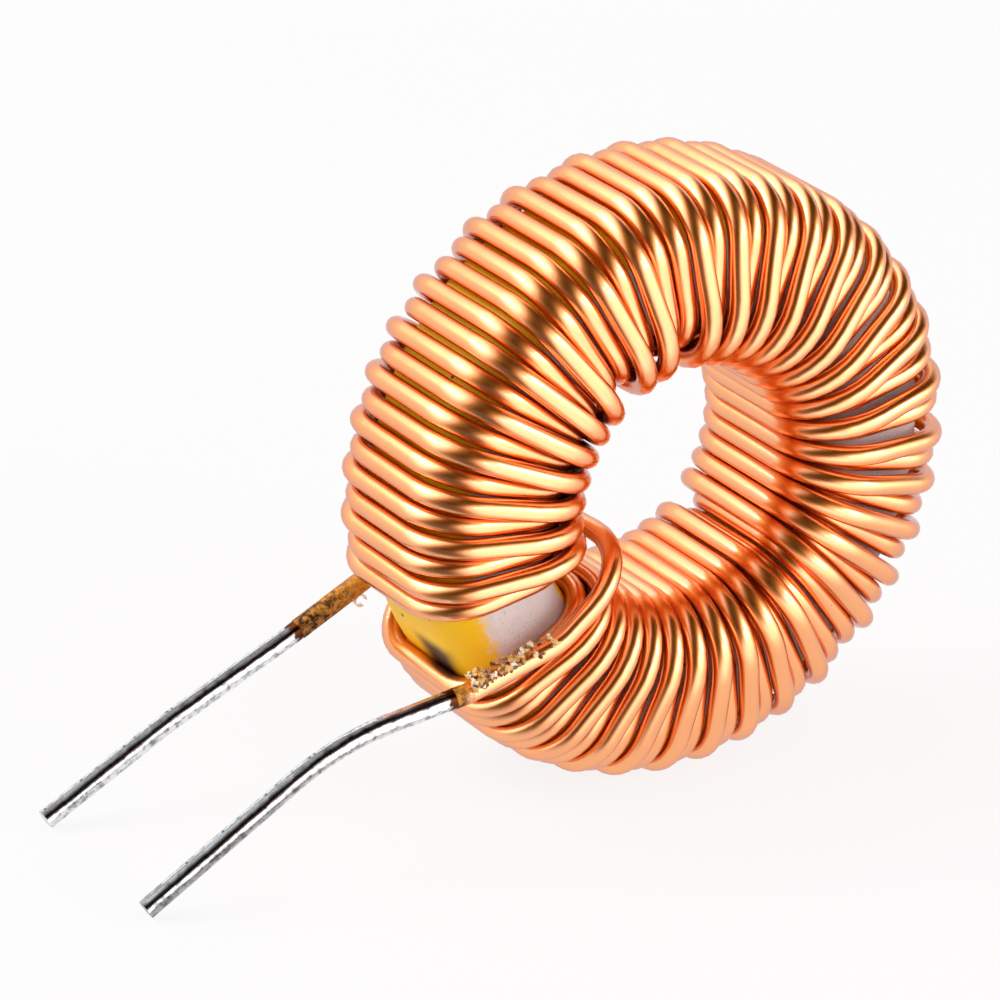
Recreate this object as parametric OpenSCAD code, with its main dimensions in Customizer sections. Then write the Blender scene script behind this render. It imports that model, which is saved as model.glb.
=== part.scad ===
// Toroidal inductor: a painted iron powder ring wound with one enamelled copper wire.
// It stands on its rim. The ring's axis lies along Y, its white face looks to -Y,
// and the two tinned wire ends run out to -X, down to the surface that it stands on.

/* [Ring] */
// Outer diameter over the paint
ring_od = 17.5; // [17.2:0.1:19]
// Diameter of the bore inside the paint
ring_id = 9.5; // [9.3:0.1:10]
// Height over the paint
ring_h = 4.83; // [4.2:0.01:7]
// Radius on the four edges
ring_edge = 1.3; // [0.8:0.05:1.4]
// Thickness of the paint
paint = 0.2; // [0.1:0.05:0.3]
// Width of the band of white paint on one face
white_band = 1.2; // [0.8:0.1:1.3]

/* [Wire] */
// Diameter over the enamel
wire_d = 0.63; // [0.5:0.01:0.64]
// Diameter of the bare copper
copper_d = 0.57; // [0.4:0.01:0.58]
// Thickness of the tin on the bare ends
tin = 0.015; // [0.01:0.005:0.04]
// Gap that the stiff wire keeps from the ring and from its neighbours
slack = 0.02; // [0.01:0.005:0.04]

/* [Winding] */
// Number of whole turns
turns = 70; // [60:1:70]
// Angle of the first turn on the rim, counted from +X towards +Z
first_rim = 215; // [212:0.5:218]
// Angle of the last turn on the rim, one round further on
last_rim = 555; // [552:0.5:556]
// Angle of the first turn in the bore
first_bore = 219; // [218:0.5:221]
// Angle of the last turn in the bore, one round further on
last_bore = 559; // [556:0.5:560]
// Extra angle by which the turns are spread on the rim, opposite the leads
spread = 18; // [0:1:20]

/* [Hidden] */

ring_r = ring_od/2;
bore_r = ring_id/2;
edge_r = min(ring_edge, (ring_r - bore_r) / 3);
bend_r = edge_r + slack + wire_d/2;
rim_level = ring_r + slack + wire_d/2;
face_level = ring_h/2 + slack + wire_d/2;
stand = rim_level + wire_d/2;
lead_r = copper_d/2 + tin;
tip_level = lead_r - stand;

// In the bore the low turns lie against the ring and the high ones nest in the grooves between them.
// At each notch two low turns lie side by side, and the turns of this list are the second of the two.
notches = [21, 50, 55];
low_level = bore_r - slack - wire_d/2;
side_by_side = 2 * asin((wire_d + slack) / 2 / low_level);
bore_pitch = (last_bore - first_bore - len(notches) * side_by_side) / (turns - 1 - len(notches));
groove = low_level * sin(bore_pitch);
high_level = low_level * cos(bore_pitch) - sqrt(pow(wire_d + slack, 2) - pow(groove, 2));
climb = wire_d + 18 * slack;
high_bend = bend_r + wire_d/2;

// On the rim the turns lie close together, but they are spread around the middle of the winding.
// Where they are spread, they also lie in uneven groups, as a hand leaves them.
spread_turn = 32.5;
spread_width = 5;
bunch = 0.8;
bunch_width = 4.5;

function polar(r, a, y) = [r * cos(a), y, r * sin(a)];
function passed(k) = len([for (n = notches) if (n <= k) n]);
function is_high(k) = (k + passed(k)) % 2 == 1;
function bore_angle(k) = first_bore + (k - passed(k)) * bore_pitch + passed(k) * side_by_side;
function spread_at(k) =
  spread * (atan((k - spread_turn) / spread_width) + atan(spread_turn / spread_width)) / 180;
function bunch_at(k) = bunch * sin(130 * k) / (1 + pow((k - spread_turn) / bunch_width, 4));
rim_pitch = (last_rim - first_rim - spread_at(turns - 1)) / (turns - 1);
function rim_angle(k) = first_rim + k * rim_pitch + spread_at(k) + bunch_at(k);
function inner_level(k) = is_high(k) ? high_level : low_level;
function inner_face(k) = face_level + (is_high(k) ? climb : 0);

// Corners of one turn: down the rim, in over the front face and back through the bore
function turn_route(k) = [
  polar(rim_level, rim_angle(k), face_level),
  polar(rim_level, rim_angle(k), -face_level),
  polar(inner_level(k), bore_angle(k), -inner_face(k)),
  polar(inner_level(k), bore_angle(k), inner_face(k))
];
function turn_bends(k) =
  is_high(k) ? [bend_r, bend_r, high_bend, high_bend] : [bend_r, bend_r, bend_r, bend_r];

function unit(v) = v / norm(v);
function toward(a, b, s) = a + unit(b - a) * s;

// The loose end of the wire crosses the front over the first turn, and goes back through the bore
// without touching the turns there.
over_level = face_level + wire_d + slack;
crossing = [
  [-8.2, -over_level, -4.42],
  [-5.1, -over_level, -3.5],
  polar(2.75, 207.5, -over_level),
  polar(3.26, 204, over_level)
];
crossing_bends = [2, 2, 2, high_bend];
turns_route = [for (k = [0:turns - 1]) each turn_route(k)];
exit = turns_route[len(turns_route) - 1];

// Stiff ends, bent by hand, from the ring down to the surface under it
front_way = [crossing[0], [-12.4, -3.2, -5.15], [-18.38, -2.91, tip_level]];
rear_way = [exit, [-10.3, 3.12, -4.93], [-14.3, 3.2, -6.87], [-18.2, 3.26, tip_level]];
lead_bend = 8;

// The enamel is burnt off from here on. The bare copper starts a little way inside it.
front_skin = 0.5;
rear_skin = 6.65;
copper_root = 0.2;

function last(p) = p[len(p) - 1];
function last_way(p) = unit(last(p) - p[len(p) - 2]);
function bare(way, skin) =
  [for (i = [0:len(way) - 1]) i == 0 ? toward(way[0], way[1], skin) : way[i]];
function copper(way, skin) = [for (i = [0:len(way) - 1])
  i == 0 ? toward(way[0], way[1], skin - copper_root)
  : i == len(way) - 1 ? way[i] - last_way(way) * tin : way[i]];
function bare_bends(way) = [for (i = [0:len(way) - 1]) i == 0 || i == len(way) - 1 ? 0 : lead_bend];

enamelled = concat([toward(front_way[0], front_way[1], front_skin)], crossing, turns_route,
  [toward(rear_way[0], rear_way[1], rear_skin)]);
enamelled_bends = concat([0], crossing_bends, [for (k = [0:turns - 1]) each turn_bends(k)], [0]);

function angle_between(u, v) = acos(min(1, u * v));
function cut_back(u, v, r) = r * tan(angle_between(u, v) / 2);
function across(v) = unit(cross(v, abs(v.y) < 0.7 ? [0, 1, 0] : [1, 0, 0]));

// Puts its children at p, with their axes turned to x, y and z
module place(p, x, y, z)
  multmatrix([[x.x, y.x, z.x, p.x], [x.y, y.y, z.y, p.y], [x.z, y.z, z.z, p.z]]) children();

module leg(a, b, d) {
  z = unit(b - a);
  x = across(z);
  place(a, x, cross(z, x), z) cylinder(d = d, h = norm(b - a), $fn = 24);
}

// A bend is a hair thinner than the legs and reaches a little way into both,
// so that no two round faces of the same size meet edge to edge.
joint_step = 0.005;
joint_reach = 0.01;
module bend(corner, u, v, r, d) {
  swing = angle_between(u, v);
  reach = joint_reach / r * 180 / PI;
  n = unit(cross(u, v));
  side = cross(n, u);
  centre = corner - u * cut_back(u, v, r) + side * r;
  place(centre, -side, u, n) rotate([0, 0, -reach])
    rotate_extrude(angle = swing + 2 * reach, $fn = 24)
      translate([r, 0]) circle(d = d - 2 * joint_step, $fn = 24);
}

// A wire of diameter d through the points p, with a bend of radius r[i] at each corner.
// Its legs and bends are the children of one loop, so they are joined in one step.
module bent_wire(p, r, d) {
  last = len(p) - 1;
  way = [for (i = [0:last - 1]) unit(p[i + 1] - p[i])];
  cut = [for (i = [0:last]) i == 0 || i == last ? 0 : cut_back(way[i - 1], way[i], r[i])];
  for (i = [0:2 * last - 2]) let (k = floor(i / 2))
    if (i % 2 == 0) leg(p[k] + way[k] * cut[k], p[k + 1] - way[k] * cut[k + 1], d);
    else bend(p[k + 1], way[k], way[k + 1], r[k + 1], d);
}

// The origin is on the surface below, under the middle of the space that the part takes up.
// At the back this ends with the turn that reaches furthest as it bends out of the bore.
function rear_reach(k) = let (corner = turn_route(k)[3], out = unit(turn_route(k + 1)[0] - corner))
  corner.y + turn_bends(k)[3] * (1 - tan(acos(out.y) / 2)) + wire_d/2;
function tip_reach(way, axis) = lead_r * sqrt(1 - pow(last_way(way)[axis], 2));
left = min(last(front_way).x - tip_reach(front_way, 0), last(rear_way).x - tip_reach(rear_way, 0));
right = rim_level + wire_d/2;
front = -over_level - wire_d/2;
rear = max([for (k = [0:turns - 2]) rear_reach(k)]);
module seated() translate([-(left + right) / 2, -(front + rear) / 2, stand]) children();

// Half section of the ring, r units inside its painted surface
module ring_section(inset) {
  inner = bore_r + inset;
  outer = ring_r - inset;
  half = ring_h/2 - inset;
  edge = edge_r - inset;
  translate([inner + edge, -half]) square([outer - inner - 2 * edge, 2 * half]);
  translate([inner, edge - half]) square([outer - inner, 2 * (half - edge)]);
  for (x = [inner + edge, outer - edge], y = [edge - half, half - edge])
    translate([x, y]) circle(r = edge, $fn = 48);
}

// The white paint is a band along the middle of one face
module white_section()
  intersection() {
    difference() {
      ring_section(0);
      ring_section(paint);
    }
    translate([(bore_r + ring_r - white_band) / 2, 0]) square([white_band, ring_h]);
  }

module turned() seated() rotate([90, 0, 0]) rotate_extrude($fn = 96) children();

module core() color("dimgray") turned() ring_section(paint);

module coat_yellow() color("gold") turned()
  difference() {
    ring_section(0);
    ring_section(paint);
    white_section();
  }

module coat_white() color("gainsboro") turned() white_section();

module winding() color("chocolate") seated() {
  bent_wire(enamelled, enamelled_bends, wire_d);
  bent_wire(copper(front_way, front_skin), bare_bends(front_way), copper_d);
  bent_wire(copper(rear_way, rear_skin), bare_bends(rear_way), copper_d);
}

// Tin on a bare end: a sleeve with a closed tip, filled by the copper
module sleeve(way, skin) color("silver") seated()
  difference() {
    bent_wire(bare(way, skin), bare_bends(way), 2 * lead_r);
    bent_wire(copper(way, skin), bare_bends(way), copper_d);
  }

module front_lead_tin() sleeve(front_way, front_skin);
module rear_lead_tin() sleeve(rear_way, rear_skin);

// Beads of burnt flux along the upper edge of the crossing wire, next to the front lead
crust_beads = 12;
crust_step = 0.17;
crust_start = 0.25;
function bead_r(i) = 0.13 + 0.04 * sin(137 * i);
module flux_crust() color("peru") seated()
  difference() {
    along = unit(crossing[1] - crossing[0]);
    up = cross([0, -1, 0], along);
    for (i = [0:crust_beads - 1])
      translate(crossing[0] + along * (crust_start + i * crust_step) + up * (wire_d/2 + bead_r(i)/2))
        sphere(r = bead_r(i), $fn = 24);
    leg(crossing[0], crossing[1], wire_d);
  }

// A curl of enamel that has peeled from the burnt stretch of the rear lead
flake_r = 0.2;
flake_w = 0.18;
flake_t = 0.03;
flake_at = 4.6;
module enamel_flake() color("antiquewhite") seated()
  difference() {
    down = unit(cross([0, 1, 0], exit - rear_way[1]));
    translate(toward(exit, rear_way[1], flake_at) + down * (wire_d/2 + flake_r - flake_t/2))
      rotate([90, 0, 0]) rotate_extrude(angle = 300, $fn = 36)
        translate([flake_r - flake_t, -flake_w/2]) square([flake_t, flake_w]);
    leg(exit, rear_way[1], wire_d);
  }

core();
coat_yellow();
coat_white();
winding();
front_lead_tin();
rear_lead_tin();
flux_crust();
enamel_flake();
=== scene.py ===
import bpy, math
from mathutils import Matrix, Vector


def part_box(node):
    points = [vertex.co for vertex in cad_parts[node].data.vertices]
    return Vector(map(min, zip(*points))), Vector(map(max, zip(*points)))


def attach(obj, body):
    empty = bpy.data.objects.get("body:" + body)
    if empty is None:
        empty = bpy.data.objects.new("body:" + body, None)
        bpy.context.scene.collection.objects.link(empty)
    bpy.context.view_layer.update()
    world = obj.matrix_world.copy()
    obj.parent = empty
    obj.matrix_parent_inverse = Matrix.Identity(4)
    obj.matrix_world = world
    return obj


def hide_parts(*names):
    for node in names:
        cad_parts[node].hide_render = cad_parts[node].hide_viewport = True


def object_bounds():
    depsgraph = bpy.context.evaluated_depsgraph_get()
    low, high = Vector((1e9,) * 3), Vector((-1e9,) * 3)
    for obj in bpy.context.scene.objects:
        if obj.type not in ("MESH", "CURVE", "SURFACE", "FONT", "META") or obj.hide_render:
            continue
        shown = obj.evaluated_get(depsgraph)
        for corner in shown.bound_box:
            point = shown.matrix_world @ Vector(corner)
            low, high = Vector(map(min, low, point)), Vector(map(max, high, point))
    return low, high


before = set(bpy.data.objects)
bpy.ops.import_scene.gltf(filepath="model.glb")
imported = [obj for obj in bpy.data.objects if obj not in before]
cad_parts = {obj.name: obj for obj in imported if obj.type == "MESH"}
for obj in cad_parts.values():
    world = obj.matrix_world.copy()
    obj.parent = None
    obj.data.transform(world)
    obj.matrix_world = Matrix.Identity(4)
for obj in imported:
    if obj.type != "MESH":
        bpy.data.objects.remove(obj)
solid_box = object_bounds()


# ---------------------------------------------------------------------------
# Ring core. A ring of pressed iron powder, hidden under its paint and the winding.
# It is the turned solid itself, with the dull grain of pressed powder.
def place_node(tree, kind, inputs=None, **settings):
    """Adds a node. inputs gives a socket's name or number a value or another node's output."""
    made = tree.nodes.new(kind)
    for key, value in settings.items():
        setattr(made, key, value)
    for key, value in (inputs or {}).items():
        if isinstance(value, bpy.types.NodeSocket):
            tree.links.new(value, made.inputs[key])
        else:
            made.inputs[key].default_value = value
    return made


def noise(tree, vector, scale, detail, roughness=0.5):
    """Noise from 0 to 1. scale counts its grains to a unit of length."""
    return place_node(tree, "ShaderNodeTexNoise", {"Vector": vector, "Scale": scale, "Detail": detail,
                                                   "Roughness": roughness}).outputs["Fac"]


def ranged(tree, value, low, high, at_low=0.0, at_high=1.0, kind="LINEAR"):
    """Takes low to at_low and high to at_high, and holds still beyond them."""
    return place_node(tree, "ShaderNodeMapRange", {0: value, 1: low, 2: high, 3: at_low, 4: at_high},
                      interpolation_type=kind).outputs[0]


def blended(tree, share, first, second):
    """The first colour where share is 0, and the second one where it is 1."""
    return place_node(tree, "ShaderNodeMix", {0: share, 6: first, 7: second}, data_type="RGBA").outputs[2]


def raised(tree, height, strength, distance, under=None):
    """Relief on the surface, or on the relief under it. distance is its height in metres."""
    inputs = {"Height": height, "Strength": strength, "Distance": distance}
    if under:
        inputs["Normal"] = under
    return place_node(tree, "ShaderNodeBump", inputs).outputs[0]


def object_place(tree):
    return place_node(tree, "ShaderNodeTexCoord").outputs["Object"]


def new_finish(name, **sockets):
    """An empty material with one Principled shader. sockets are set on the shader itself."""
    made = bpy.data.materials.new(name)
    made.use_nodes = True
    shader = made.node_tree.nodes["Principled BSDF"]
    for key, value in sockets.items():
        shader.inputs[key.replace("_", " ")].default_value = value
    return made, made.node_tree, shader


def link_finish(tree, shader, **varying):
    """Links what varies over the surface to the shader's sockets."""
    for key, value in varying.items():
        tree.links.new(value, shader.inputs[key.replace("_", " ")])


def finish_node(name, material):
    """Gives a solid of the model its finish."""
    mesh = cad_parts[name].data
    mesh.materials.clear()
    mesh.materials.append(material)


powder, tree, shader = new_finish("pressed_iron_powder", Metallic=0.6)
grain = noise(tree, object_place(tree), 9000.0, 3.0)
link_finish(tree, shader, Base_Color=blended(tree, grain, (0.05, 0.05, 0.055, 1), (0.16, 0.16, 0.17, 1)),
            Roughness=ranged(tree, grain, 0.0, 1.0, 0.5, 0.8), Normal=raised(tree, grain, 0.5, 0.00003))
finish_node("core", powder)


# ---------------------------------------------------------------------------
# Yellow paint. The main coat of the ring, sprayed over its rims, its bore and one face.
# It has a faint orange peel, dark specks, painted shade beside the first turn, and white
# overspray where the two paints meet.
def maths(tree, operation, *values):
    """The sum or product or the like of some values, as Blender names the operation."""
    return place_node(tree, "ShaderNodeMath", dict(enumerate(values)), operation=operation).outputs[0]


def vector_maths(tree, operation, *values):
    made = place_node(tree, "ShaderNodeVectorMath", dict(enumerate(values)), operation=operation)
    return made.outputs["Value" if operation in ("LENGTH", "DOT_PRODUCT") else "Vector"]


def new_group(name, ins, outs):
    """A shader node group. ins and outs give each socket's name, and ins its type and value."""
    group = bpy.data.node_groups.new(name, "ShaderNodeTree")
    for label, (kind, value) in ins.items():
        socket = group.interface.new_socket(label, in_out="INPUT", socket_type="NodeSocket" + kind)
        if value is not None:
            socket.default_value = value
    for label, kind in outs.items():
        group.interface.new_socket(label, in_out="OUTPUT", socket_type="NodeSocket" + kind)
    return group, group.nodes.new("NodeGroupInput").outputs, group.nodes.new("NodeGroupOutput").inputs


# Round specks of uneven size, scattered over a surface
speck_group, into, out = new_group(
    "scattered_specks",
    {"Vector": ("Vector", None), "Scale": ("Float", 3000.0), "Size": ("Float", 0.2),
     "Share": ("Float", 0.3)},
    {"Mask": "Float"})
cells = place_node(speck_group, "ShaderNodeTexVoronoi", {"Vector": into["Vector"], "Scale": into["Scale"]})
chance = place_node(speck_group, "ShaderNodeSeparateColor", {0: cells.outputs["Color"]}).outputs
chosen = maths(speck_group, "LESS_THAN", chance[0], into["Share"])
radius = maths(speck_group, "MULTIPLY", chance[1], into["Size"])
solid_radius = maths(speck_group, "MULTIPLY", radius, 0.6)
round_spot = ranged(speck_group, cells.outputs["Distance"], solid_radius, radius, 1.0, 0.0)
speck_group.links.new(maths(speck_group, "MULTIPLY", round_spot, chosen), out["Mask"])


def specks(tree, vector, scale, size, share):
    """1 on each speck. scale counts cells to a unit, size is a speck's share of its cell's
    width, and share is how many cells have one."""
    return place_node(tree, "ShaderNodeGroup", {"Vector": vector, "Scale": scale, "Size": size,
                                                "Share": share}, node_tree=speck_group).outputs[0]


ring_middle = (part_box("core")[0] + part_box("core")[1]) / 2
flat_edge = (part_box("coat_white")[1].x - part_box("coat_white")[0].x) / 2


def ring_place(tree):
    """The place on the ring seen from its middle, and the distance from its axis, in metres."""
    seen = place_node(tree, "ShaderNodeMapping", {"Vector": object_place(tree),
                                                  "Location": tuple(-ring_middle)}).outputs[0]
    return seen, vector_maths(tree, "LENGTH", vector_maths(tree, "MULTIPLY", seen, (1, 0, 1)))


def mottled_edge(tree, place, reach):
    """1 inside the white paint's edge and 0 outside it, with a grainy change between the two."""
    raggedness = 0.00028
    grit = noise(tree, place, 6500.0, 4.0, 0.8)
    ragged = maths(tree, "ADD", reach, ranged(tree, grit, 0.3, 0.7, -raggedness, raggedness))
    return ranged(tree, ragged, flat_edge + 0.0001, flat_edge + 0.0005, 1.0, 0.0)


# The last dark colour serves both the paint's real dark specks and the painted shade beside the first turn
yellow_hue, white_hue, speck_and_shade_dark = (0.98, 0.56, 0.008, 1), (0.74, 0.64, 0.62, 1), (0.02, 0.004, 0.001, 1)
yellow, tree, shader = new_finish("yellow_ring_paint", Specular_IOR_Level=0.3)
place, reach = ring_place(tree)
x, y, z = place_node(tree, "ShaderNodeSeparateXYZ", {0: place}).outputs
cloud = noise(tree, place, 900.0, 2.0)
tone = blended(tree, cloud, (0.96, 0.49, 0.002, 1), (1.0, 0.62, 0.006, 1))

# The overspray reaches over the front corner, and further on the side away from the leads
front_corner = -0.0019
wider = ranged(tree, x, 0.003, 0.006, 0.0, 0.0009)
at_front = maths(tree, "LESS_THAN", maths(tree, "SUBTRACT", y, wider), front_corner)
spray = mottled_edge(tree, place, maths(tree, "SUBTRACT", reach, wider))
sprayed = blended(tree, maths(tree, "MULTIPLY", spray, at_front), tone, white_hue)

# Painted shade of the hollow beside the first turn: a dark patch on the rim, where z / x is over a half
slope = maths(tree, "MULTIPLY_ADD", cloud, 0.03, maths(tree, "DIVIDE", z, x))
painted_hollow_shade = ranged(tree, slope, 0.50, 0.58, kind="SMOOTHSTEP")
for limit in (ranged(tree, y, front_corner, -0.0011, kind="SMOOTHSTEP"),
              maths(tree, "LESS_THAN", x, -0.004),
              ranged(tree, y, -0.0004, 0.0006, 1.0, 0.0, kind="SMOOTHSTEP")):
    painted_hollow_shade = maths(tree, "MULTIPLY", painted_hollow_shade, limit)
# The dark specks are real; the patch beside the first turn is painted shade in the same dark colour
specks_and_painted_shade = maths(tree, "MAXIMUM", specks(tree, place, 1300.0, 0.13, 0.9), painted_hollow_shade)
peel = noise(tree, place, 5000.0, 2.0)
link_finish(tree, shader, Base_Color=blended(tree, specks_and_painted_shade, sprayed, speck_and_shade_dark),
            Roughness=ranged(tree, peel, 0.0, 1.0, 0.42, 0.58), Normal=raised(tree, peel, 0.35, 0.00002))
finish_node("coat_yellow", yellow)


# ---------------------------------------------------------------------------
# White paint. A second, thinner coat on the flat of one face, sprayed through a mask.
# It is a greyish pink white, stippled with fine grey points, and yellow shows at its edges.
white, tree, shader = new_finish("white_face_paint")
place, reach = ring_place(tree)
cloud = noise(tree, place, 1500.0, 3.0)
tone = blended(tree, cloud, (0.68, 0.56, 0.54, 1), (0.84, 0.76, 0.74, 1))
edged = blended(tree, mottled_edge(tree, place, reach), yellow_hue, tone)
stipple = maths(tree, "MULTIPLY", specks(tree, place, 17000.0, 0.6, 0.35), 0.35)
grit = noise(tree, place, 9000.0, 2.0)
link_finish(tree, shader, Base_Color=blended(tree, stipple, edged, (0.22, 0.17, 0.17, 1)),
            Roughness=ranged(tree, grit, 0.0, 1.0, 0.5, 0.75), Normal=raised(tree, grit, 0.4, 0.00002))
finish_node("coat_white", white)


# ---------------------------------------------------------------------------
# Winding. One stiff copper wire in clear enamel, wound by hand round the ring in 70 turns.
# Down the rim, in over the white face and back through the bore, where every second turn
# nests in the groove between its neighbours. Its ends are burnt brown where they were tinned.
TURNS = 70

# Lengths in millimetres, to the middle of the wire
WIRE, HALF_PITCH = 0.315, 0.325              # the wire's radius, and that with some room
RIM_LEVEL, LOW_LEVEL, HIGH_LEVEL = 9.085, 4.415, 3.86322     # from the ring's axis
FACE_LEVEL, CLIMB = 2.75, 0.99               # from its middle plane, and how much further a high turn is
TIGHT_BEND, WIDE_BEND, END_BEND = 1.635, 1.95, 2.0           # most, a high turn's in the bore, an end's

# Angles in degrees round the ring's axis, from +X towards +Z
FIRST_RIM, LAST_RIM, FIRST_BORE, LAST_BORE = 215.0, 555.0, 219.0, 559.0
SPREAD, SPREAD_TURN, SPREAD_WIDTH = 18.0, 32.5, 5.0          # where the turns open, and over how many
BUNCH, BUNCH_STEP, BUNCH_WIDTH = 0.8, 130.0, 4.5             # how they sway there, turn by turn
NOTCHES = (21, 50, 55)                       # two low turns lie side by side here
SIDE_BY_SIDE = 2 * math.degrees(math.asin(HALF_PITCH / LOW_LEVEL))
BORE_PITCH = (LAST_BORE - FIRST_BORE - len(NOTCHES) * SIDE_BY_SIDE) / (TURNS - 1 - len(NOTCHES))


def spread_by(k):
    """How many degrees the rim has opened by turn k."""
    return SPREAD * math.degrees(math.atan((k - SPREAD_TURN) / SPREAD_WIDTH)
                                 + math.atan(SPREAD_TURN / SPREAD_WIDTH)) / 180


RIM_PITCH = (LAST_RIM - FIRST_RIM - spread_by(TURNS - 1)) / (TURNS - 1)
ring_middle_mm = 1000 * ring_middle


def on_ring(level, angle, y):
    """The place at an angle round the ring's axis, level away from it and y along it."""
    return Vector((level * math.cos(math.radians(angle)), y, level * math.sin(math.radians(angle))))


def toward(a, b, s):
    """The place that lies s away from a, on the way to b."""
    return a + (b - a).normalized() * s


# The bare ends run straight between these points, seen from the ring's middle
rear_exit = on_ring(LOW_LEVEL, LAST_BORE, FACE_LEVEL)
front_way = [Vector(p) for p in ((-8.2, -3.4, -4.42), (-12.4, -3.2, -5.15), (-18.38, -2.91, -9.1))]
rear_way = [rear_exit] + [Vector(p) for p in ((-10.3, 3.12, -4.93), (-14.3, 3.2, -6.87),
                                              (-18.2, 3.26, -9.1))]
FRONT_SKIN, REAR_SKIN = 0.5, 6.65            # how far the enamel reaches along each end
LEAD_BEND = 8.0                              # radius of a tinned end's own bend


def new_tree(name, ins):
    """A geometry node tree with named inputs. ins gives each one's type and value."""
    tree = bpy.data.node_groups.new(name, "GeometryNodeTree")
    tree.interface.new_socket("Geometry", in_out="INPUT", socket_type="NodeSocketGeometry")
    for label, (kind, value) in ins.items():
        socket = tree.interface.new_socket(label, in_out="INPUT", socket_type="NodeSocket" + kind)
        if value is not None:
            socket.default_value = value
    tree.interface.new_socket("Geometry", in_out="OUTPUT", socket_type="NodeSocketGeometry")
    return tree, tree.nodes.new("NodeGroupInput").outputs, tree.nodes.new("NodeGroupOutput").inputs


def calculator(tree):
    """Math nodes as plain calls: calc("ADD", a, b) gives the node's output."""
    def calc(operation, *values):
        return maths(tree, operation, *values)
    return calc


def stored(tree, geometry, name, value, kind="FLOAT", domain="POINT"):
    """Keeps a value on each point of the geometry under a name."""
    return place_node(tree, "GeometryNodeStoreNamedAttribute",
                      {"Geometry": geometry, "Name": name, "Value": value},
                      data_type=kind, domain=domain).outputs[0]


def read_attribute(tree, name, kind="FLOAT"):
    return place_node(tree, "GeometryNodeInputNamedAttribute", {"Name": name}, data_type=kind).outputs[0]


def random_value(tree, into, low, high, step):
    """A random number for each point. step makes each use of it a different one."""
    made = place_node(tree, "FunctionNodeRandomValue", {2: low, 3: high}, data_type="FLOAT")
    tree.links.new(maths(tree, "ADD", into["Seed"], float(step)), made.inputs["Seed"])
    return made.outputs[1]


def scaled(tree, vector, amount):
    return place_node(tree, "ShaderNodeVectorMath", {0: vector, "Scale": amount},
                      operation="SCALE").outputs[0]


def swollen(tree, geometry, amount):
    """Moves each point out along its normal."""
    outward = place_node(tree, "GeometryNodeInputNormal").outputs[0]
    return place_node(tree, "GeometryNodeSetPosition",
                      {"Geometry": geometry, "Offset": scaled(tree, outward, amount)}).outputs[0]


def put_out(tree, geometry, into, out):
    """Moves the shape to the ring's middle, turns millimetres into metres and gives it its finish."""
    placed = place_node(tree, "GeometryNodeSetPosition", {"Geometry": geometry,
                                                          "Offset": into["Ring Middle"]})
    metres = place_node(tree, "GeometryNodeTransform", {"Geometry": placed.outputs[0],
                                                        "Scale": (0.001, 0.001, 0.001)})
    real = place_node(tree, "GeometryNodeRealizeInstances", {0: metres.outputs[0]})
    dressed = place_node(tree, "GeometryNodeSetMaterial", {"Geometry": real.outputs[0],
                                                           "Material": into["Finish"]})
    tree.links.new(dressed.outputs[0], out["Geometry"])


wire_tree, into, out = new_tree("wound_wire", {
    "Turns": ("Int", 0), "Wire Radius": ("Float", WIRE), "Sides": ("Int", 16), "Bend Steps": ("Int", 8),
    "Rim Level": ("Float", RIM_LEVEL), "Face Level": ("Float", FACE_LEVEL),
    "Low Level": ("Float", LOW_LEVEL), "High Level": ("Float", HIGH_LEVEL), "Climb": ("Float", CLIMB),
    "Tight Bend": ("Float", TIGHT_BEND), "Wide Bend": ("Float", WIDE_BEND),
    "First Rim": ("Float", FIRST_RIM), "Rim Pitch": ("Float", RIM_PITCH),
    "Spread": ("Float", SPREAD), "Spread Turn": ("Float", SPREAD_TURN),
    "Spread Width": ("Float", SPREAD_WIDTH), "Bunch": ("Float", BUNCH),
    "Bunch Width": ("Float", BUNCH_WIDTH),
    "First Bore": ("Float", FIRST_BORE), "Bore Pitch": ("Float", BORE_PITCH),
    "Side By Side": ("Float", SIDE_BY_SIDE), "Notch A": ("Float", NOTCHES[0]),
    "Notch B": ("Float", NOTCHES[1]), "Notch C": ("Float", NOTCHES[2]),
    "Ring Middle": ("Vector", tuple(ring_middle_mm)), "Hand Wobble": ("Float", 0.0),
    "Front Burn": ("Float", 0.0), "Rear Burn": ("Float", 0.0), "Lumps": ("Float", 0.0),
    "Seed": ("Int", 7), "Finish": ("Material", None)})
calc = calculator(wire_tree)

# The turns' corners, four to a turn: rim rear, rim front, bore front and bore rear
TURN_ORDER, LAST_ORDER = 100, 9000           # the loose ends' points come before 100 and at 9000
corners = place_node(wire_tree, "GeometryNodeMeshLine",
                     {"Count": calc("MULTIPLY", into["Turns"], 4.0), "Offset": (0, 0, 0)})
index = place_node(wire_tree, "GeometryNodeInputIndex").outputs[0]
turn = calc("FLOOR", calc("DIVIDE", index, 4.0))
corner = calc("SUBTRACT", index, calc("MULTIPLY", turn, 4.0))
past = [calc("GREATER_THAN", turn, calc("SUBTRACT", into["Notch " + n], 0.5)) for n in "ABC"]
passed = calc("ADD", calc("ADD", past[0], past[1]), past[2])
is_high = calc("MODULO", calc("ADD", turn, passed), 2.0)
in_bore = calc("GREATER_THAN", corner, 1.5)
at_rear = calc("GREATER_THAN", calc("ABSOLUTE", calc("SUBTRACT", corner, 1.5)), 1.0)
high_in_bore = calc("MULTIPLY", is_high, in_bore)
off_middle = calc("SUBTRACT", turn, into["Spread Turn"])
opened = calc("ADD", calc("ARCTANGENT", calc("DIVIDE", off_middle, into["Spread Width"])),
              calc("ARCTANGENT", calc("DIVIDE", into["Spread Turn"], into["Spread Width"])))
spread_so_far = calc("MULTIPLY", calc("DIVIDE", into["Spread"], math.pi), opened)
sway = calc("SINE", calc("RADIANS", calc("MULTIPLY", turn, BUNCH_STEP)))
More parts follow.
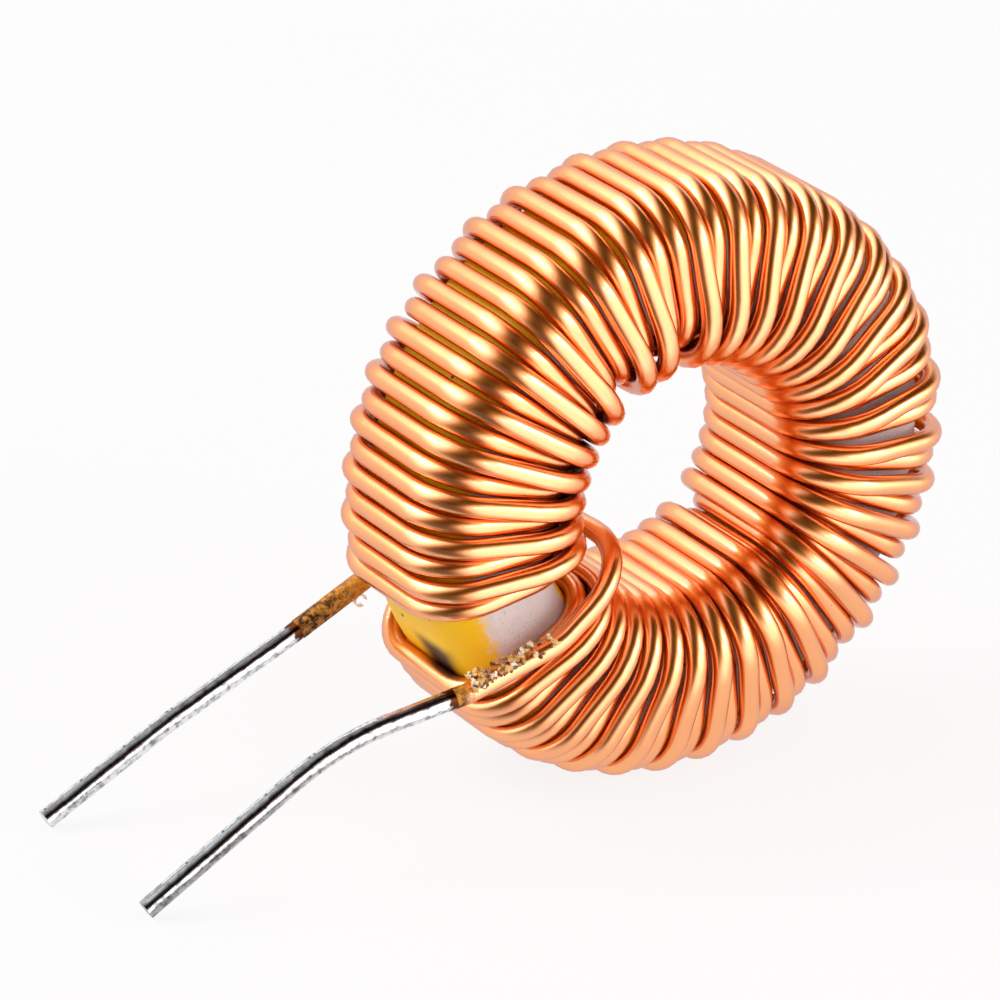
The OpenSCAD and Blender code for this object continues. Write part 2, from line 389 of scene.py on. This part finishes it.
fading = calc("POWER", calc("ABSOLUTE", calc("DIVIDE", off_middle, into["Bunch Width"])), 4.0)
bunched = calc("DIVIDE", calc("MULTIPLY", into["Bunch"], sway), calc("ADD", fading, 1.0))
rim_angle = calc("ADD", calc("ADD", calc("MULTIPLY_ADD", turn, into["Rim Pitch"], into["First Rim"]),
                             spread_so_far), bunched)
bore_angle = calc("ADD", calc("MULTIPLY_ADD", calc("SUBTRACT", turn, passed), into["Bore Pitch"],
                              into["First Bore"]), calc("MULTIPLY", passed, into["Side By Side"]))


def between(a, b, share):
    return calc("MULTIPLY_ADD", calc("SUBTRACT", b, a), share, a)


def by_hand(step):
    """A small random amount for each corner, as a hand lays each turn a little differently."""
    return calc("MULTIPLY", random_value(wire_tree, into, -1.0, 1.0, step), into["Hand Wobble"])


DEGREES = 57.3                               # in a radian
level = between(into["Rim Level"], between(into["Low Level"], into["High Level"], is_high), in_bore)
angle = calc("ADD", between(rim_angle, bore_angle, in_bore),
             calc("DIVIDE", calc("MULTIPLY", by_hand(1), DEGREES), level))
depth = calc("ADD", calc("MULTIPLY_ADD", high_in_bore, into["Climb"], into["Face Level"]),
             calc("MULTIPLY", by_hand(2), 0.6))
turned = calc("RADIANS", angle)
laid = place_node(wire_tree, "ShaderNodeCombineXYZ",
                  {"X": calc("MULTIPLY", level, calc("COSINE", turned)),
                   "Y": calc("MULTIPLY", depth, between(-1.0, 1.0, at_rear)),
                   "Z": calc("MULTIPLY", level, calc("SINE", turned))}).outputs[0]
points = place_node(wire_tree, "GeometryNodeMeshToPoints", {"Mesh": corners.outputs[0], "Position": laid})
points = stored(wire_tree, points.outputs[0], "order", calc("ADD", index, float(TURN_ORDER)))
points = stored(wire_tree, points, "bend", between(into["Tight Bend"], into["Wide Bend"], high_in_bore))

# One line through the loose ends' points and the turns' corners, rounded at every bend
end_points = place_node(wire_tree, "GeometryNodeMeshToPoints", {"Mesh": into["Geometry"]})
all_points = place_node(wire_tree, "GeometryNodeJoinGeometry")
wire_tree.links.new(points, all_points.inputs[0])
wire_tree.links.new(end_points.outputs[0], all_points.inputs[0])
line = place_node(wire_tree, "GeometryNodePointsToCurves",
                  {"Points": all_points.outputs[0], "Weight": read_attribute(wire_tree, "order")})
line = place_node(wire_tree, "GeometryNodeFilletCurve",
                  {"Curve": line.outputs[0], "Count": into["Bend Steps"],
                   "Radius": read_attribute(wire_tree, "bend"), "Limit Radius": True},
                  mode="POLY").outputs[0]
along = place_node(wire_tree, "GeometryNodeSplineParameter").outputs["Length"]
whole = place_node(wire_tree, "GeometryNodeCurveLength", {0: line}).outputs[0]
burnt = calc("MAXIMUM", calc("SUBTRACT", 1.0, calc("DIVIDE", along, into["Front Burn"])),
             calc("SUBTRACT", 1.0, calc("DIVIDE", calc("SUBTRACT", whole, along), into["Rear Burn"])))
line = stored(wire_tree, line, "burnt", calc("MAXIMUM", burnt, 0.0))
line = stored(wire_tree, line, "along", along)

# The wire's round section swept along that line. lay is a point's place in the section, and
# how far along the wire it is.
section = place_node(wire_tree, "GeometryNodeCurvePrimitiveCircle",
                     {"Resolution": into["Sides"], "Radius": into["Wire Radius"]}, mode="RADIUS")
section = stored(wire_tree, section.outputs[0], "section",
                 place_node(wire_tree, "GeometryNodeInputPosition").outputs[0], "FLOAT_VECTOR")
swept = place_node(wire_tree, "GeometryNodeCurveToMesh",
                   {"Curve": line, "Profile Curve": section, "Fill Caps": True})
across = place_node(wire_tree, "ShaderNodeSeparateXYZ",
                    {0: read_attribute(wire_tree, "section", "FLOAT_VECTOR")}).outputs
lay = place_node(wire_tree, "ShaderNodeCombineXYZ",
                 {"X": across["X"], "Y": across["Y"], "Z": read_attribute(wire_tree, "along")})
swept = stored(wire_tree, swept.outputs[0], "lay", lay.outputs[0], "FLOAT_VECTOR")

# Lumps stand proud of the round section, where a wire was dipped
ripple = noise(wire_tree, read_attribute(wire_tree, "lay", "FLOAT_VECTOR"), 1.3, 2.0)
swell = calc("MULTIPLY", calc("SUBTRACT", ripple, 0.5), into["Lumps"])
smooth = place_node(wire_tree, "GeometryNodeSetShadeSmooth", {0: swollen(wire_tree, swept, swell),
                                                              "Shade Smooth": True})
put_out(wire_tree, smooth.outputs[0], into, out)


def made_by(tree, name, start, **values):
    """Runs the tree on a start mesh and keeps the result as a plain mesh object."""
    worker = bpy.data.objects.new(name + "_start", start)
    bpy.context.scene.collection.objects.link(worker)
    modifier = worker.modifiers.new("shape", "NODES")
    modifier.node_group = tree
    for item in tree.interface.items_tree:
        if item.item_type == "SOCKET" and item.in_out == "INPUT" and item.name in values:
            modifier[item.identifier] = values[item.name]
    graph = bpy.context.evaluated_depsgraph_get()
    mesh = bpy.data.meshes.new_from_object(worker.evaluated_get(graph), depsgraph=graph)
    mesh.name = name
    worker.modifiers.remove(modifier)
    bpy.data.objects.remove(worker)
    piece = bpy.data.objects.new(name, mesh)
    bpy.context.scene.collection.objects.link(piece)
    return piece


def loose_ends(name, stretches):
    """Points of the wire with their order and bend radius. stretches lists (order, point, bend)."""
    mesh = bpy.data.meshes.new(name)
    mesh.from_pydata([tuple(p) for _, p, _ in stretches], [], [])
    mesh.attributes.new("order", "FLOAT", "POINT").data.foreach_set("value", [o for o, _, _ in stretches])
    mesh.attributes.new("bend", "FLOAT", "POINT").data.foreach_set("value", [b for _, _, b in stretches])
    return mesh


# Fine lines drawn along a wire, as the die leaves them, and shallow dents from handling
drawn_group, into, out = new_group(
    "drawn_wire", {"Lay": ("Vector", None), "Line Scale": ("Float", 30.0), "Dent Scale": ("Float", 1.0)},
    {"Lines": "Float", "Dents": "Float"})
stretched = vector_maths(drawn_group, "MULTIPLY", into["Lay"], (1.0, 1.0, 0.03))
softened = vector_maths(drawn_group, "MULTIPLY", into["Lay"], (1.0, 1.0, 0.7))
drawn_group.links.new(noise(drawn_group, stretched, into["Line Scale"], 2.0), out["Lines"])
drawn_group.links.new(noise(drawn_group, softened, into["Dent Scale"], 1.0), out["Dents"])


def drawn_surface(tree, lay, line_scale, line_strength, dent_scale, dent_strength):
    """The mask of a drawn wire's lines, and the relief of its lines and dents."""
    drawn = place_node(tree, "ShaderNodeGroup", {"Lay": lay, "Line Scale": line_scale,
                                                 "Dent Scale": dent_scale}, node_tree=drawn_group).outputs
    dented = raised(tree, drawn["Dents"], dent_strength, 0.00004)
    return drawn["Lines"], raised(tree, drawn["Lines"], line_strength, 0.00001, dented)


def kept_value(tree, name):
    """The outputs that read a value kept on the mesh."""
    return place_node(tree, "ShaderNodeAttribute", attribute_name=name).outputs


copper, tree, shader = new_finish("enamelled_copper", Coat_Roughness=0.17, Coat_IOR=2.4,
                                  Specular_Tint=(0.5, 0.2, 0.09, 1))
lay, burn = kept_value(tree, "lay")["Vector"], kept_value(tree, "burnt")["Fac"]
lines, relief = drawn_surface(tree, lay, 26.0, 0.04, 1.1, 0.6)
warmth = ranged(tree, noise(tree, lay, 0.35, 3.0), 0.3, 0.7)
tone = blended(tree, warmth, (0.93, 0.295, 0.035, 1), (1.0, 0.35, 0.055, 1))
specked = blended(tree, specks(tree, lay, 1.6, 0.09, 0.14), tone, (0.20, 0.06, 0.015, 1))
dusty = blended(tree, specks(tree, lay, 0.9, 0.07, 0.07), specked, (1.0, 0.93, 0.82, 1))

# Near its ends the enamel is charred: an amber crust that gets darker toward the tin
char = noise(tree, lay, 5.0, 5.0, 0.7)
charred = ranged(tree, maths(tree, "MULTIPLY_ADD", char, 1.3, burn), 0.98, 1.25)
shade = ranged(tree, maths(tree, "MULTIPLY_ADD", burn, -0.28, char), 0.17, 0.40)
crust = blended(tree, shade, (0.025, 0.006, 0.002, 1), (0.70, 0.29, 0.035, 1))
gloss = ranged(tree, lines, 0.0, 1.0, 0.28, 0.35)
link_finish(tree, shader, Base_Color=blended(tree, charred, dusty, crust),
            Metallic=ranged(tree, charred, 0.0, 1.0, 1.0, 0.25),
            Coat_Weight=ranged(tree, charred, 0.0, 1.0, 0.9, 0.05),
            Roughness=maths(tree, "MULTIPLY_ADD", charred, 0.3, gloss),
            Normal=raised(tree, maths(tree, "MULTIPLY", char, charred), 0.8, 0.00006, relief))

# The front end goes over the white face and through the bore to the first turn. The rear end
# leaves the last turn.
crossing = Vector((-5.1, -3.4, -3.5))
ends = [(0, toward(front_way[0], front_way[1], FRONT_SKIN), 0.0),
        (1, front_way[0], END_BEND), (2, crossing, END_BEND),
        (3, on_ring(2.75, 207.5, -3.4), END_BEND), (4, on_ring(3.26, 204, 3.4), WIDE_BEND),
        (LAST_ORDER, toward(rear_exit, rear_way[1], REAR_SKIN), 0.0)]
winding = made_by(wire_tree, "wound_copper_wire", loose_ends("wire_ends", ends), **{
    "Turns": TURNS, "Hand Wobble": 0.025, "Front Burn": 0.8, "Rear Burn": 2.6, "Finish": copper})
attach(winding, "root")
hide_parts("winding")


# ---------------------------------------------------------------------------
# Tinned ends. The same wire's two ends, stripped of enamel and dipped in solder tin.
# The tin is bright and a little uneven, with nicks, a painted dark reflection along its upper side, and a
# burnt brown root beside the enamel. The tips are cut square.
tin, tree, shader = new_finish("bright_solder_tin", Metallic=1.0)
lay = kept_value(tree, "lay")["Vector"]
lines, relief = drawn_surface(tree, lay, 18.0, 0.25, 2.2, 0.8)
blotch = noise(tree, lay, 5.0, 5.0)
tone = blended(tree, ranged(tree, blotch, 0.33, 0.55), (0.26, 0.265, 0.27, 1), (0.80, 0.81, 0.82, 1))
# Painted reflection: the tin is painted nearly black where its surface faces the direction below, a fixed
# streak
DARK_REFLECTION_SIDE = (-0.50, -0.42, 0.75)
normal = place_node(tree, "ShaderNodeTexCoord").outputs["Normal"]
facing = vector_maths(tree, "DOT_PRODUCT", normal, DARK_REFLECTION_SIDE)
facing = maths(tree, "MULTIPLY_ADD", blotch, 0.16, facing)
painted_dark_reflection = blended(tree, ranged(tree, facing, 0.93, 1.0, 0.0, 0.9), tone, (0.03, 0.032, 0.035, 1))
nicked = blended(tree, specks(tree, lay, 4.0, 0.3, 0.2), painted_dark_reflection, (0.10, 0.10, 0.11, 1))
root = ranged(tree, kept_value(tree, "along")["Fac"], 0.0, 0.45, 1.0, 0.0)
eaten = ranged(tree, maths(tree, "MULTIPLY_ADD", blotch, 1.6, root), 1.12, 1.3)
link_finish(tree, shader, Base_Color=blended(tree, eaten, nicked, (0.07, 0.02, 0.006, 1)),
            Roughness=ranged(tree, blotch, 0.0, 1.0, 0.12, 0.34), Normal=relief)

for name, way, skin in (("front_lead_tin", front_way, FRONT_SKIN), ("rear_lead_tin", rear_way, REAR_SKIN)):
    points = [toward(way[0], way[1], skin)] + way[1:]
    steps = [(i, p, 0.0 if i in (0, len(points) - 1) else LEAD_BEND) for i, p in enumerate(points)]
    lead = made_by(wire_tree, "tinned_" + name.replace("_tin", ""), loose_ends(name + "_points", steps), **{
        "Turns": 0, "Wire Radius": 0.3, "Bend Steps": 24, "Sides": 24, "Lumps": 0.02, "Finish": tin})
    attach(lead, "root")
    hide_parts(name)


# ---------------------------------------------------------------------------
# Burnt flux. Crumbs of it that tinning left on the crossing wire, beside the front lead.
# They are brown, amber and cream, of uneven size, and lie in a heap that thins out away
# from the lead.
def ramped(tree, value, *stops, kind="LINEAR"):
    """A colour ramp through the stops, each of them a position and a colour, in rising order."""
    made = place_node(tree, "ShaderNodeValToRGB", {0: value})
    made.color_ramp.interpolation = kind
    outer = made.color_ramp.elements[0], made.color_ramp.elements[1]
    for element, stop in zip(outer, (stops[0], stops[-1])):
        element.position, element.color = stop
    for position, colour in stops[1:-1]:
        made.color_ramp.elements.new(position).color = colour
    return made.outputs[0]


flux, tree, shader = new_finish("burnt_flux_crust", Coat_Weight=0.5, Coat_Roughness=0.15)
patch = noise(tree, object_place(tree), 3500.0, 4.0, 0.7)
tinted = maths(tree, "MULTIPLY_ADD", patch, 0.4, kept_value(tree, "tint")["Fac"])
baked = ramped(tree, tinted, (0.28, (0.10, 0.03, 0.006, 1)), (0.48, (0.42, 0.15, 0.02, 1)),
               (0.80, (0.90, 0.56, 0.18, 1)), (1.0, (0.95, 0.86, 0.72, 1)))
link_finish(tree, shader, Base_Color=baked, Roughness=ranged(tree, patch, 0.0, 1.0, 0.3, 0.7),
            Normal=raised(tree, patch, 0.8, 0.00005))

crumb_tree, into, out = new_tree("flux_crumbs", {
    "Count": ("Int", 130), "Start": ("Vector", tuple(front_way[0])), "End": ("Vector", tuple(crossing)),
    "Wire Radius": ("Float", WIRE), "Heap": ("Float", 0.34), "Crumb Size": ("Float", 0.115),
    "Ring Middle": ("Vector", tuple(ring_middle_mm)), "Seed": ("Int", 11), "Finish": ("Material", None)})
calc = calculator(crumb_tree)


def by_chance(low, high, step):
    return random_value(crumb_tree, into, low, high, step)


def moved(point, direction, amount):
    return vector_maths(crumb_tree, "ADD", point, scaled(crumb_tree, direction, amount))


# Each crumb lies somewhere along the wire, on its upper or outer side, and some lie on others
OUTWARD, FULL_TURN = (0, -1, 0), 6.28
run = vector_maths(crumb_tree, "SUBTRACT", into["End"], into["Start"])
upward = vector_maths(crumb_tree, "NORMALIZE", vector_maths(crumb_tree, "CROSS_PRODUCT", OUTWARD, run))
share = calc("POWER", by_chance(0.2, 1.0, 1), 2.2)
turned = by_chance(0.35, 1.9, 2)
heap = calc("MULTIPLY", calc("MULTIPLY", into["Heap"], calc("SUBTRACT", 1.05, share)),
            by_chance(0.0, 1.0, 3))
reach = calc("ADD", into["Wire Radius"], heap)
spot = moved(into["Start"], run, share)
spot = moved(spot, upward, calc("MULTIPLY", reach, calc("SINE", turned)))
spot = moved(spot, OUTWARD, calc("MULTIPLY", into["Wire Radius"], calc("COSINE", turned)))
spots = place_node(crumb_tree, "GeometryNodePoints", {"Count": into["Count"], "Position": spot})
grain = place_node(crumb_tree, "GeometryNodeMeshIcoSphere", {"Radius": 1.0, "Subdivisions": 2})
size = calc("MULTIPLY", into["Crumb Size"], calc("POWER", by_chance(0.45, 1.0, 4), 2.0))
sizes = place_node(crumb_tree, "ShaderNodeCombineXYZ", {
    "X": size, "Y": calc("MULTIPLY", size, by_chance(0.4, 1.0, 5)),
    "Z": calc("MULTIPLY", size, by_chance(0.5, 1.3, 6))})
tumbled = place_node(crumb_tree, "ShaderNodeCombineXYZ", {
    "X": by_chance(0.0, FULL_TURN, 7), "Y": by_chance(0.0, FULL_TURN, 8),
    "Z": by_chance(0.0, FULL_TURN, 9)})
heaped = place_node(crumb_tree, "GeometryNodeInstanceOnPoints",
                    {"Points": spots.outputs[0], "Instance": grain.outputs[0],
                     "Rotation": tumbled.outputs[0], "Scale": sizes.outputs[0]})
tinted = stored(crumb_tree, heaped.outputs[0], "tint", by_chance(0.0, 1.0, 10), domain="INSTANCE")
real = place_node(crumb_tree, "GeometryNodeRealizeInstances", {0: tinted})
position = place_node(crumb_tree, "GeometryNodeInputPosition").outputs[0]
chips = calc("SUBTRACT", noise(crumb_tree, position, 11.0, 2.0), 0.5)
chipped = swollen(crumb_tree, real.outputs[0],
                  calc("MULTIPLY", chips, calc("MULTIPLY", into["Crumb Size"], 2.4)))
put_out(crumb_tree, chipped, into, out)
crumbs = made_by(crumb_tree, "burnt_flux_crumbs", bpy.data.meshes.new("no_points"), Finish=flux)
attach(crumbs, "root")
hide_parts("flux_crust")


# ---------------------------------------------------------------------------
# Enamel flake. A curl of enamel that has come away from the burnt stretch of the rear lead.
# It is the solid itself, in a pale, glossy, slightly cloudy brown.
flake, tree, shader = new_finish("peeled_enamel", Coat_Weight=0.6, Coat_Roughness=0.1,
                                 Subsurface_Weight=0.2, Subsurface_Scale=0.0002)
patch = noise(tree, object_place(tree), 5000.0, 3.0)
link_finish(tree, shader, Base_Color=blended(tree, patch, (0.86, 0.55, 0.30, 1), (0.95, 0.86, 0.76, 1)),
            Roughness=ranged(tree, patch, 0.0, 1.0, 0.25, 0.5))
finish_node("enamel_flake", flake)


# ---------------------------------------------------------------------------
# Table, lamps and camera. A pale table top under plain soft studio light. What metal mirrors
# is a white tent with one dark slit over its front, and lit cloth on both sides of the slit.
# They aren't part of the inductor.
SLIT_NORMAL, SLIT_MIDDLE = (-0.50, 0.74, 0.451), (-0.26, -0.63, 0.73)
TENT_GREY, TENT_STRENGTH = (0.42, 0.42, 0.42, 1), 2.5
tent_group, into, out = new_group("white_tent", {"Direction": ("Vector", None)}, {"Color": "Color"})
across = vector_maths(tent_group, "DOT_PRODUCT", into["Direction"], SLIT_NORMAL)
cloth = ramped(tent_group, maths(tent_group, "ABSOLUTE", across),
               (0.23, (0.006, 0.001, 0.0, 1)), (0.33, (0.10, 0.035, 0.018, 1)),
               (0.45, (0.42, 0.38, 0.36, 1)), (0.62, (0.95, 0.95, 0.95, 1)), (0.85, (1, 1, 1, 1)),
               (1.0, (0.85, 0.85, 0.85, 1)), kind="EASE")
near = ranged(tent_group, vector_maths(tent_group, "DOT_PRODUCT", into["Direction"], SLIT_MIDDLE),
              -0.25, 0.2, kind="SMOOTHSTEP")
tent_group.links.new(blended(tent_group, near, TENT_GREY, cloth), out["Color"])


def or_tent(tree, mirrored, direction, colour, strength):
    """A glow's colour and strength. Where mirrored is 1, they are the tent's."""
    tent = place_node(tree, "ShaderNodeGroup", {"Direction": direction}, node_tree=tent_group).outputs[0]
    return blended(tree, mirrored, colour, tent), ranged(tree, mirrored, 0.0, 1.0, strength, TENT_STRENGTH)


GLOW_SHARE = 0.86                            # how much of the table's look is its own glow
table_mesh = bpy.data.meshes.new("pale_table")
table_mesh.from_pydata([(-2, -2, 0), (2, -2, 0), (2, 2, 0), (-2, 2, 0)], [], [(0, 1, 2, 3)])
table = bpy.data.objects.new("pale_table", table_mesh)
bpy.context.scene.collection.objects.link(table)
surface, tree, shader = new_finish("pale_table_top", Roughness=0.9, Base_Color=(0.82, 0.81, 0.81, 1))
ray = place_node(tree, "ShaderNodeLightPath").outputs
outlook = vector_maths(tree, "NORMALIZE",
                       vector_maths(tree, "SUBTRACT", object_place(tree), tuple(ring_middle)))
colour, strength = or_tent(tree, ray["Is Glossy Ray"], outlook, (1.0, 0.992, 0.99, 1), 1.0)
glow = place_node(tree, "ShaderNodeEmission", {"Color": colour, "Strength": strength})
shown = maths(tree, "MAXIMUM", ray["Is Camera Ray"], ray["Is Glossy Ray"])
blend = place_node(tree, "ShaderNodeMixShader", {0: maths(tree, "MULTIPLY", shown, GLOW_SHARE),
                                                 1: shader.outputs[0], 2: glow.outputs[0]})
tree.links.new(blend.outputs[0], tree.nodes["Material Output"].inputs["Surface"])
table_mesh.materials.append(surface)

SKY_STRENGTH, SEEN_STRENGTH = 0.75, 1.0      # as a lamp, and as the camera sees it
world = bpy.data.worlds.new("studio")
bpy.context.scene.world = world
world.use_nodes = True
tree = world.node_tree
sky = tree.nodes["Background"].inputs
ray = place_node(tree, "ShaderNodeLightPath").outputs
toward_sky = place_node(tree, "ShaderNodeTexCoord").outputs["Generated"]
colour, strength = or_tent(tree, ray["Is Glossy Ray"], toward_sky, (1, 1, 1, 1), SKY_STRENGTH)
tree.links.new(colour, sky["Color"])
tree.links.new(ranged(tree, ray["Is Camera Ray"], 0.0, 1.0, strength, SEEN_STRENGTH), sky["Strength"])

# Each softbox has an azimuth and a height in degrees, a distance, width and height in metres,
# and a radiance
middle = (solid_box[0] + solid_box[1]) / 2
for name, azimuth, elevation, distance, wide, tall, radiance in (
        ("back_softbox", 150, 45, 0.35, 0.26, 0.16, 4.0),
        ("right_softbox", -50, 22, 0.40, 0.2, 0.14, 4.0),
        ("front_softbox", -80, 12, 0.45, 0.30, 0.10, 2.0)):
    a, e = math.radians(azimuth), math.radians(elevation)
    spot = Vector((math.cos(a) * math.cos(e), math.sin(a) * math.cos(e), math.sin(e))) * distance
    lamp = bpy.data.lights.new(name, "AREA")
    lamp.shape, lamp.size, lamp.size_y = "RECTANGLE", wide, tall
    lamp.energy = radiance * math.pi * wide * tall
    softbox = bpy.data.objects.new(name, lamp)
    softbox.location = middle + spot
    softbox.rotation_euler = (-spot).to_track_quat("-Z", "Y").to_euler()
    bpy.context.scene.collection.objects.link(softbox)

lens = bpy.data.cameras.new("camera")
lens.lens, lens.sensor_width = 193.76, 36.0
lens.clip_start, lens.clip_end = 0.01, 20.0
camera = bpy.data.objects.new("camera", lens)
camera.location = (-0.08118565, -0.11856866, 0.07122156)
camera.rotation_euler = [math.radians(a) for a in (66.54301533, -2.66987882, -33.05206316)]
bpy.context.scene.collection.objects.link(camera)
bpy.context.scene.camera = camera
bpy.context.scene.view_settings.view_transform = "Standard"
